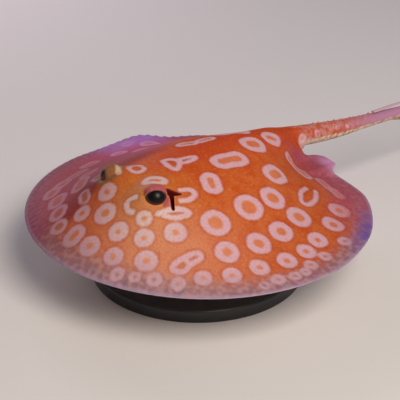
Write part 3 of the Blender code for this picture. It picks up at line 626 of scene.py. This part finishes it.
def paint(mesh):
    """Writes on each point where it is among the marks, in the skin's broad zones of colour and in its
    painted light and shade, in mm.
    """
    places = np.zeros(len(mesh.vertices) * 3, np.float32)
    mesh.vertices.foreach_get("co", places)
    places = places.reshape(-1, 3).astype(float) * 1000
    normals = np.zeros(len(mesh.vertices) * 3, np.float32)
    mesh.vertices.foreach_get("normal", normals)
    hollow, lids, under, share, tail = read_notes(mesh, "hollow", "lid", "under", "share", "tail")
    x, y, z = places.T
    height = z - MARGIN_HEIGHT * 1000
    out = np.hypot(x, y)
    bearing = np.degrees(np.arctan2(x, -y))
    off_tail = 180.0 - np.abs(bearing)
    disc = tail == 0

    # The way in from the margin. The tail and its root count as far in.
    edge = out / np.maximum(share, 0.02) * (1 - share) + EDGE_FAR * (1 - smooth(4.5, 9.0, off_tail))
    edge = np.where(disc, edge, EDGE_FAR)
    line, mark = mark_distances(places, under)

    # Painted mauve light on the right side, from the ridge of the back outwards, and painted dark red shade
    # where it begins.
    reach = RIGHT_X - x - np.where(y > RIGHT_Y, RIGHT_SLANTS[1], RIGHT_SLANTS[0]) * (y - RIGHT_Y)
    slope = 1 - smooth(*RIGHT_TOP, height)
    mauve_light = smooth(4.0, 28.0, reach) * slope * (1 - smooth(0.0, 0.2, tail))
    # Painted shade: a dark red band where the painted mauve light begins, between the two lights.
    painted_shade_band = smooth(0.0, 10.0, reach) * (1 - smooth(16.0, 40.0, reach)) * smooth(10.0, -30.0, y)
    painted_shade_band *= slope * smooth(5.0, 20.0, edge)

    # The margin is pale all round. Painted light makes it rosy behind and violet at both sides, and gives the
    # lobes a pink highlight.
    # Painted rosy light on the rear of the disc, near its margin.
    rear = smooth(100.0, 140.0, np.abs(bearing)) * smooth(38.0, 14.0, edge) * disc
    pale = smooth(18.0, 2.0, edge) * (1 - 0.75 * rear)
    # Painted violet light, as through the thin margin lit from behind, at both sides.
    turned = np.abs(bearing) - np.where(x > 0, VIOLET_LEFT, 0.0)
    violet_backlight = smooth(*VIOLET_START, turned) * (1 - smooth(*VIOLET_END, turned))
    violet_backlight *= np.where(x < 0, smooth(30.0, 5.0, edge), smooth(14.0, 1.0, edge))
    # A painted pink highlight on the lobes' tips.
    lobe = np.exp(-(((off_tail - LOBE_BEARING) / LOBE_SPREAD) ** 2)) * smooth(*LOBE_OUT, out) * disc

    # Ochre on the head, red along the back, pale on the left front, duller on the left rear, and painted
    # shade on the right front.
    head = ((x - HEAD_MIDDLE[0]) / HEAD_SPREAD[0]) ** 2 + ((y - HEAD_MIDDLE[1]) / HEAD_SPREAD[1]) ** 2
    head = np.exp(-head)
    back = np.exp(-(((x - BACK_X) / BACK_SPREAD) ** 2)) * smooth(*BACK_Y, y)
    flank = np.exp(-(((bearing - FLANK_BEARING) / FLANK_SPREAD) ** 2)) * smooth(*FLANK_OUT, out)
    # Painted shade: the right front, away from the light, is darkened.
    shade = smooth(28.0, -26.0, bearing) * smooth(35.0, 70.0, out) * (1 - smooth(-70.0, -110.0, bearing))
    hind = smooth(45.0, 120.0, bearing) * smooth(35.0, 90.0, out) * disc

    # The belly's colour runs on under the tail's root, and the rest of the tail is paler below.
    low = smooth(0.35, -0.45, normals.reshape(-1, 3)[:, 2])
    under = np.maximum(under, low * ~disc * (1 - smooth(0.02, 0.10, tail)))

    write_notes(mesh, "marks", line, mark, edge)
    write_notes(mesh, "zones", mauve_light, rear, violet_backlight)
    write_notes(mesh, "warmth", head, back, flank)
    write_notes(mesh, "folds", hollow, under)
    write_notes(mesh, "rest", tail, painted_shade_band, pale)
    write_notes(mesh, "low", low * smooth(0.0, 0.05, tail), (x < 0) * lids, (x > 0) * lids)
    write_notes(mesh, "depth", shade, lobe, hind)


# --- The skin: its material --------------------------------------------------------------
# Living skin under a thin coat of slime: soft, a little translucent, with a faint moist shine.
# Colour is orange with pale rings and margins. Painted over it: mauve, rosy and violet light, and shade.
# The painted shade darkens the right front and the holes; the lobes' tips have a painted pink highlight.

GRAINS = {                     # the skin's patterns: millimetres across a patch, and how finely it breaks up
    "blotch": (9.0, 2.0), "fine": (1.6, 3.0), "wander": (7.0, 2.0), "rim": (4.0, 2.0),
    "spot": (3.4, 0.0), "tail": (4.5, 2.0), "tail_side": (5.0, 2.0), "pore": (0.6, 2.0),
}
SWEEP_SIZE = 16.667            # millimetres across the broad patches that the rim has
SWEEP_OFFSET = 0.10            # metres by which their pattern is moved
PEBBLE_SIZE = 2.6              # millimetres between the pebbles of the tail's skin
PORE_DEPTH = 0.0004            # metres


def colour(code):
    """An sRGB colour such as C8602A as linear values."""
    values = [int(code[i:i + 2], 16) / 255 for i in (0, 2, 4)]
    return (*[v / 12.92 if v <= 0.04045 else ((v + 0.055) / 1.055) ** 2.4 for v in values], 1.0)


def add(tree, kind, inputs=(), **settings):
    """Adds a node with its settings. inputs has each socket's value, or the node or output that feeds it."""
    made = tree.nodes.new(kind)
    for name, value in settings.items():
        setattr(made, name, value)
    for key, value in dict(inputs).items():
        if isinstance(value, bpy.types.Node):
            value = next(output for output in value.outputs if output.enabled)
        if isinstance(value, bpy.types.NodeSocket):
            tree.links.new(value, made.inputs[key])
        else:
            made.inputs[key].default_value = value
    return made


def coated(tree, tone, coats, blend="MIX"):
    """Lays coats of colour over a tone. What follows a coat's colour multiplies to how much it covers."""
    for over, cover, *shares in coats:
        for share in shares:
            cover = add(tree, "ShaderNodeMath", {0: cover, 1: share}, operation="MULTIPLY")
        over = colour(over) if isinstance(over, str) else over
        tone = add(tree, "ShaderNodeMix", {0: cover, 6: tone, 7: over}, data_type="RGBA", blend_type=blend)
    return tone


def new_material(name, values):
    """A material, its node tree and its shader, with these values on the shader's own sockets."""
    made = bpy.data.materials.new(name)
    made.use_nodes = True
    shader = made.node_tree.nodes["Principled BSDF"]
    for socket, value in values.items():
        shader.inputs[socket].default_value = value
    return made, made.node_tree, shader


def moist_skin():
    """The skin's material: its patterns, then soft masks, then the coats of colour that they let through."""
    made, tree, shader = new_material("moist_skin", {
        "Roughness": 0.5, "Specular IOR Level": 0.05, "Coat Weight": 0.03, "Coat Roughness": 0.25,
        "Subsurface Weight": 0.12, "Subsurface Radius": (1.0, 0.45, 0.3), "Subsurface Scale": 0.0015,
    })
    place = add(tree, "ShaderNodeTexCoord").outputs["Object"]
    read = {}
    for name in ("marks", "zones", "warmth", "folds", "rest", "low", "depth"):
        source = add(tree, "ShaderNodeAttribute", attribute_name=name)
        read[name] = add(tree, "ShaderNodeSeparateXYZ", {0: source.outputs["Vector"]}).outputs
    line, mark, edge = read["marks"]
    mauve_light, rear, violet_backlight = read["zones"]
    head, back, flank = read["warmth"]
    hollow, under = read["folds"][:2]
    tail, painted_shade_band, pale = read["rest"]
    tail_low, right_lid, left_lid = read["low"]
    shade, lobe, hind = read["depth"]

    grain = {}
    for name, (size, detail) in GRAINS.items():
        inputs = {"Vector": place, "Scale": 1000 / size, "Detail": detail}
        grain[name] = add(tree, "ShaderNodeTexNoise", inputs)
    flat = add(tree, "ShaderNodeVectorMath", {0: place, 1: (1, 1, 0)}, operation="MULTIPLY")
    outward = add(tree, "ShaderNodeVectorMath", {0: flat}, operation="NORMALIZE")
    swept = {0: outward, 1: flat, 2: (SWEEP_OFFSET, SWEEP_OFFSET, SWEEP_OFFSET)}
    swept = add(tree, "ShaderNodeVectorMath", swept, operation="MULTIPLY_ADD")
    sweep = add(tree, "ShaderNodeTexNoise", {"Vector": swept, "Scale": 1000 / SWEEP_SIZE, "Detail": 2.0})
    inputs = {"Vector": place, "Scale": 1000 / PEBBLE_SIZE}
    pebble = add(tree, "ShaderNodeTexVoronoi", inputs, feature="SMOOTH_F1")

    # The edges of the pale lines and of the tail's pale underside wander a little.
    uneven = add(tree, "ShaderNodeMath", {0: grain["wander"], 1: 2.0, 2: line}, operation="MULTIPLY_ADD")
    uneven = add(tree, "ShaderNodeMath", {0: grain["fine"], 1: 0.6, 2: uneven}, operation="MULTIPLY_ADD")
    low = add(tree, "ShaderNodeMath", {0: grain["tail_side"], 1: 0.8, 2: tail_low}, operation="MULTIPLY_ADD")
    # Where either painted light lies: the mauve light of the right side or the rosy light behind.
    painted_tint = add(tree, "ShaderNodeMath", {0: rear, 1: mauve_light}, operation="ADD")

    # Soft masks: what each reads, where it begins and is full, and what it then is if not 0 and 1.
    seen = {}
    for name, source, start, full, *ends in (
        ("blotch", grain["blotch"], 0.3, 0.7),
        ("dark_speck", grain["fine"], 0.48, 0.72, 0.0, 0.28),
        ("light_speck", grain["fine"], 0.46, 0.30, 0.0, 0.22),
        ("ring_speck", grain["fine"], 0.40, 0.70, 0.0, 0.35),
        ("by_mark", mark, 2.8, 0.0),
        ("off_mark", mark, -0.9, 0.5),
        ("in_mark", mark, -1.5, -3.0),
        ("ring", uneven, 2.3, 0.0),
        # Rings show less through the painted mauve and rosy light, and spots less through both.
        ("ring_in_mauve", mauve_light, 0.0, 1.0, 0.97, 0.93),
        ("ring_in_rear", rear, 0.0, 1.0, 1.0, 0.5),
        ("ring_by_margin", edge, 22.0, 8.0, 0.0, 0.6),
        ("rim", grain["rim"], 0.25, 0.75, 0.65, 0.95),
        ("rim_sweep", sweep, 0.3, 0.75),
        ("rim_line", edge, 2.2, 0.4, 0.0, 0.5),
        ("spot", grain["spot"], 0.35, 0.75),
        ("spot_by_margin", edge, 19.0, 8.0),
        ("spot_in_mauve", painted_tint, 0.0, 1.0, 1.0, 0.4),
        ("violet_sweep", sweep, 0.3, 0.65, 0.4, 1.0),
        ("tail_root", tail, 0.0, 0.08),
        ("tail_end", tail, 0.15, 0.40),
        ("tail_blotch", grain["tail"], 0.40, 0.62),
        ("tail_low", low, 0.65, 1.15),
        ("pebble", pebble, 0.25, 0.6),
        ("pebbled", tail, 0.0, 0.05),
        ("belly_rim", edge, 22.0, 4.0, 0.0, 0.6),
        # Painted shade in the holes and slits.
        ("hole_wall_shade", hollow, 0.05, 0.45),
        ("hole_floor_shade", hollow, 0.45, 0.95),
    ):
        least, most = ends or (0.0, 1.0)
        inputs = {0: source, 1: start, 2: full, 3: least, 4: most}
        seen[name] = add(tree, "ShaderNodeMapRange", inputs, interpolation_type="SMOOTHSTEP")
    ring = seen["ring"]
    for name in ("ring_in_mauve", "ring_in_rear"):
        ring = add(tree, "ShaderNodeMath", {0: ring, 1: seen[name]}, operation="MULTIPLY")
    off_ring = add(tree, "ShaderNodeMath", {0: ring, 1: -0.8, 2: 1.0}, operation="MULTIPLY_ADD")

    # The painted mauve light of the right side, redder in the painted shade; the pale rim takes it too.
    mauve_tone = coated(tree, colour("B44A7A"), [("AC4460", shade)])
    rim = coated(tree, colour("7C6472"), [("887082", seen["rim_sweep"]), ("8E4868", mauve_light, 0.9)])
    ground = coated(tree, colour("BC5220"), (
        ("C46430", seen["blotch"]),
        ("C47A2A", head, 0.9),
        ("BC3C12", back, 0.8),
        ("D6987A", flank, 0.6),
        # Painted light and shade: mauve light on the right, rosy light behind, dark red shade where the mauve
        # begins.
        (mauve_tone, mauve_light, 0.9),
        ("A04C66", rear, 0.85),
        ("8E1E16", painted_shade_band, 0.95),
        ("90704C", right_lid, 0.9),
        ("A64C5C", left_lid, 0.85),
        ("A03A16", seen["dark_speck"]),
        ("DC9A5C", seen["light_speck"]),
        ("A03C1C", seen["by_mark"], seen["off_mark"], 0.35),
        ("E0A07C", seen["in_mark"], 0.30),
        (rim, pale, seen["rim"]),
        ("C8A098", seen["spot"], seen["spot_by_margin"], seen["spot_in_mauve"], 0.38),
    ))
    # Under the painted mauve and rosy light the rings take those colours too.
    ring_tone = coated(tree, colour("D0A8B2"), (
        ("D6C2BC", head),
        ("C488AC", mauve_light, 0.8),
        ("D8CCA4", right_lid, 0.9),
        ("C4869A", rear, 0.7),
        ("B494A0", seen["ring_by_margin"]),
        ("C08478", seen["ring_speck"]),
    ))
    # The painted violet light of the side margins, paler within the painted mauve light.
    violet_tone = coated(tree, colour("6A549C"), [("A474C4", mauve_light)])
    low_tone = coated(tree, colour("DCC4AC"), [("B88C78", seen["pebble"])])
    tail_tone = coated(tree, colour("B8583A"), (
        ("C08078", seen["tail_blotch"]),
        ("B0809C", seen["tail_end"]),
        (low_tone, seen["tail_low"]),
    ))
    belly = coated(tree, colour("E9DDD2"), [("E2CFC6", seen["blotch"]), ("B78E96", seen["belly_rim"])])
    skin_tone = coated(tree, ground, (
        (ring_tone, ring),
        ("A494B8", seen["rim_line"]),
        # Painted violet light on the side margins, and a painted pink highlight on the lobes' tips.
        (violet_tone, violet_backlight, seen["violet_sweep"]),
        ("D49AC8", lobe, 0.85),
        (tail_tone, seen["tail_root"], off_ring),
        (belly, under),
    ))
    # Painted shade on the right front; the left rear is made a little duller.
    skin_tone = coated(tree, skin_tone, [("DCD6E2", hind, 0.4), ("BC9088", shade, 0.6)], "MULTIPLY")
    # Painted shade: the holes, slits, mouth, nostrils and vent darken to dark red and then nearly black.
    skin_tone = coated(tree, skin_tone, [("8A2A20", seen["hole_wall_shade"]), ("480E0E", seen["hole_floor_shade"])])
    tree.links.new(skin_tone.outputs[2], shader.inputs["Base Color"])

    inputs = {0: grain["pore"], 1: 0.5, 2: grain["fine"]}
    pores = add(tree, "ShaderNodeMath", inputs, operation="MULTIPLY_ADD")
    pebbles = add(tree, "ShaderNodeMath", {0: pebble, 1: seen["pebbled"]}, operation="MULTIPLY")
    relief = add(tree, "ShaderNodeMath", {0: pebbles, 1: -2.5, 2: pores}, operation="MULTIPLY_ADD")
    bump = add(tree, "ShaderNodeBump", {"Height": relief, "Strength": 0.35, "Distance": PORE_DEPTH})
    tree.links.new(bump.outputs["Normal"], shader.inputs["Normal"])
    return made


def place_mesh(name, bm, material, sharp=None):
    """Turns a bmesh into a smooth object at the origin."""
    mesh = bpy.data.meshes.new(name)
    bm.to_mesh(mesh)
    bm.free()
    mesh.shade_smooth()
    if sharp:
        mesh.set_sharp_from_angle(angle=math.radians(sharp))
    mesh.materials.append(material)
    thing = bpy.data.objects.new(name, mesh)
    bpy.context.scene.collection.objects.link(thing)
    return thing


skin = place_mesh("skin", grow_skin(), moist_skin())
paint(skin.data)
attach(skin, "root")
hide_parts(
    "head", "trunk", "pectoral_fin_left", "pectoral_fin_right", "pelvic_fin_left",
    "pelvic_fin_right", "tail_base", "tail_middle", "tail_end",
)


# --- The eyes ----------------------------------------------------------------------------
# Dark domed eyeballs held by the lids, looking out and a little forward. The eye of this animal
# is almost black, in a dark brown iris. Its clear front is wet, which gives one soft highlight.


def dark_eye():
    """A wide black pupil with a thin pale edge, a painted highlight, in a dark brown iris, under a clear wet
    cornea.
    """
    made, tree, shader = new_material("wet_dark_eye", {
        "Roughness": 0.4, "Specular IOR Level": 0.2,
        "Coat Weight": 0.16, "Coat Roughness": 0.2, "Coat IOR": 1.38,
    })
    gaze = add(tree, "ShaderNodeAttribute", attribute_name="gaze").outputs["Fac"]
    coats = []
    # The pale edge round the pupil is a painted highlight.
    for code, start, full in (("6E3418", 1.0, 1.5), ("4A3638", 0.98, 0.94), ("0A0605", 0.93, 0.87)):
        inputs = {0: gaze, 1: start, 2: full}
        coats.append((code, add(tree, "ShaderNodeMapRange", inputs, interpolation_type="SMOOTHSTEP")))
    iris = coated(tree, colour("54220F"), coats)
    tree.links.new(iris.outputs[2], shader.inputs["Base Color"])
    return made


PUPIL = (0.88, 0.60, 0.20)     # its half width, half height and rise, in shares of the eye's radius
eye_material = dark_eye()
for side, word in ((1, "left"), (-1, "right")):
    bm = bmesh.new()
    bmesh.ops.create_uvsphere(bm, u_segments=72, v_segments=48, radius=EYE_RADIUS)
    axis = EYE_AXES[side]
    level = Vector((0, 0, 1)).cross(axis).normalized()
    upright = axis.cross(level)
    bmesh.ops.rotate(bm, verts=bm.verts, matrix=axis.to_track_quat("Z", "Y").to_matrix())
    gaze = bm.verts.layers.float.new("gaze")
    for vert in bm.verts:
        n = vert.co.normalized()
        off = math.hypot(n.dot(level) / PUPIL[0], (n.dot(upright) - PUPIL[2]) / PUPIL[1])
        vert[gaze] = off if n.dot(axis) > 0 else 2.0
    bmesh.ops.translate(bm, verts=bm.verts, vec=EYES[side])
    eye = place_mesh("eyeball_" + word, bm, eye_material)
    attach(eye, "root")
    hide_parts("eye_" + word)


# --- The tail's thorns -------------------------------------------------------------------
# A row of small thorns leans back along the top of the tail, from the pelvic fins to the sting.
# They are of the same hard stuff as teeth, grown over with thin skin that gives them its red.

THORNS, THORN_HEIGHT = 46, 0.0011               # how many, and metres
THORN_SPAN = (-0.02, 0.345)    # shares of the tail's length
THORN_LEAN = 0.75              # backwards for each part outwards


def thorn_row():
    """All the thorns as one mesh: small cones that lean back and stand in the skin."""
    bm = bmesh.new()
    centres = tail_centres(400)
    for k in range(THORNS):
        t = max(THORN_SPAN[0] + (THORN_SPAN[1] - THORN_SPAN[0]) * k / (THORNS - 1), 0.004)
        centre, direction = centres[round(t * 400)]
        turn = math.radians(90 + 16 * math.sin(k * 2.4))
        foot = in_metres(tail_point(centre, direction, t, turn))
        height = THORN_HEIGHT * (0.8 + 0.3 * math.sin(k * 1.7)) * (1.0 if k % 5 else 1.3)
        out = (foot - in_metres(centre)).normalized()
        lean = (out + direction * THORN_LEAN).normalized()
        cone = bmesh.ops.create_cone(
            bm, cap_ends=True, segments=10, radius1=height * 0.7, radius2=height * 0.12, depth=height * 1.5
        )["verts"]
        bmesh.ops.rotate(bm, verts=cone, matrix=lean.to_track_quat("Z", "Y").to_matrix())
        bmesh.ops.translate(bm, verts=cone, vec=foot + lean * height * 0.35)
    return bm


dentine, _, _ = new_material("skin_covered_dentine", {
    "Base Color": colour("BE6C4C"), "Roughness": 0.35, "Subsurface Weight": 0.1, "Subsurface Scale": 0.001,
})
thorns = place_mesh("tail_thorns", thorn_row(), dentine)
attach(thorns, "root")


# --- The sting ---------------------------------------------------------------------------
# The bony dagger on the tail has the solid's own shape. It is bone stained pinkish mauve by the
# skin that it lies in, with a dull shine.

BONE_GRAIN = 1.111             # millimetres
bone, tree, shader = new_material("dull_bone", {"Roughness": 0.4})
place = add(tree, "ShaderNodeTexCoord").outputs["Object"]
grain = add(tree, "ShaderNodeTexNoise", {"Vector": place, "Scale": 1000 / BONE_GRAIN, "Detail": 3.0})
tone = coated(tree, colour("D6BEC2"), [("AC8A98", grain)])
tree.links.new(tone.outputs[2], shader.inputs["Base Color"])
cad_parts["tail_sting"].data.materials.clear()
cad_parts["tail_sting"].data.materials.append(bone)


# --- The stand ---------------------------------------------------------------------------
# A turned wooden disc, rounded at its top edge, with a satin black lacquer that shines softly. Two
# rods of brushed steel, which blurs what it mirrors, stand in it and end in pads under the belly.
# They have the solids' own shape.

BASE_SIDES, BASE_EDGE = 128, 0.0018             # how many sides the disc has, and its rounded edge in metres
lacquer, _, _ = new_material("satin_black_lacquer", {
    "Base Color": colour("17161A"), "Roughness": 0.32, "Coat Weight": 0.4, "Coat Roughness": 0.2,
})
low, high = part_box("stand_base")
radius = (high.x - low.x) / 2
bm = bmesh.new()
disc = bmesh.ops.create_cone(
    bm, cap_ends=True, segments=BASE_SIDES, radius1=radius, radius2=radius, depth=high.z - low.z
)["verts"]
bmesh.ops.translate(bm, verts=disc, vec=(low + high) / 2)
top_edge = [edge for edge in bm.edges if all(vert.co.z > high.z - 1e-5 for vert in edge.verts)]
bmesh.ops.bevel(
    bm, geom=top_edge, offset=BASE_EDGE, offset_type="OFFSET", segments=5, profile=0.5,
    affect="EDGES", material=-1,
)
base = place_mesh("stand_plate", bm, lacquer, sharp=40)
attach(base, "root")
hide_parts("stand_base")

steel, _, _ = new_material("brushed_steel", {
    "Base Color": colour("B4B4B8"), "Metallic": 1.0, "Roughness": 0.28,
})
for word in ("front", "rear"):
    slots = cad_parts["stand_rod_" + word].data.materials
    slots.clear()
    slots.append(steel)


# --- The studio --------------------------------------------------------------------------
# A plain pale floor of matt paper, without any shine, and soft lamps: a key on the left, a weak one
# on the right and a weaker, cooler one behind. The camera stands to the front and left, above.

paper, _, _ = new_material("matt_paper", {"Base Color": colour("D8D7D5"), "Roughness": 0.9})
bm = bmesh.new()
bmesh.ops.create_grid(bm, x_segments=1, y_segments=1, size=4.0)
floor = place_mesh("floor", bm, paper)

LOOK_AT = Vector((0.0, 0.0, MARGIN_HEIGHT))
LAMP_SIZE = 0.6                # metres


def lamp(name, place, watts, tone):
    """A soft square lamp that faces the animal."""
    data = bpy.data.lights.new(name, "AREA")
    data.size = LAMP_SIZE
    data.energy = watts
    data.color = colour(tone)[:3]
    made = bpy.data.objects.new(name, data)
    made.location = place
    made.rotation_euler = (LOOK_AT - Vector(place)).to_track_quat("-Z", "Y").to_euler()
    bpy.context.scene.collection.objects.link(made)


lamp("key", (0.85, -0.25, 0.95), 14.5, "FFF2E6")
lamp("side", (-0.95, 0.25, 0.5), 3.6, "F4E2F2")
lamp("back", (0.25, 1.1, 0.45), 1.2, "D4D0FF")
world = bpy.data.worlds.new("studio")
world.use_nodes = True
bpy.context.scene.world = world
sky = world.node_tree.nodes["Background"]
sky.inputs["Color"].default_value = colour("E6E4EA")
sky.inputs["Strength"].default_value = 0.2
bpy.context.scene.view_settings.view_transform = "Standard"

CAMERA_BEARING, CAMERA_RISE, CAMERA_DISTANCE = 45.35, 27.49, 0.8023     # degrees, degrees, metres
LENS, SENSOR = 105.97, 36.0    # millimetres
SHIFT = (0.00575, 0.01625)     # shares of the frame, so that the animal stands where it should in it
turn, rise = math.radians(CAMERA_BEARING), math.radians(CAMERA_RISE)
away = Vector((math.sin(turn) * math.cos(rise), -math.cos(turn) * math.cos(rise), math.sin(rise)))
camera_data = bpy.data.cameras.new("camera")
camera_data.sensor_width = SENSOR
camera_data.lens = LENS
camera_data.shift_x, camera_data.shift_y = SHIFT
camera = bpy.data.objects.new("camera", camera_data)
camera.location = LOOK_AT + away * CAMERA_DISTANCE
camera.rotation_euler = (-away).to_track_quat("-Z", "Y").to_euler()
bpy.context.scene.collection.objects.link(camera)
bpy.context.scene.camera = camera
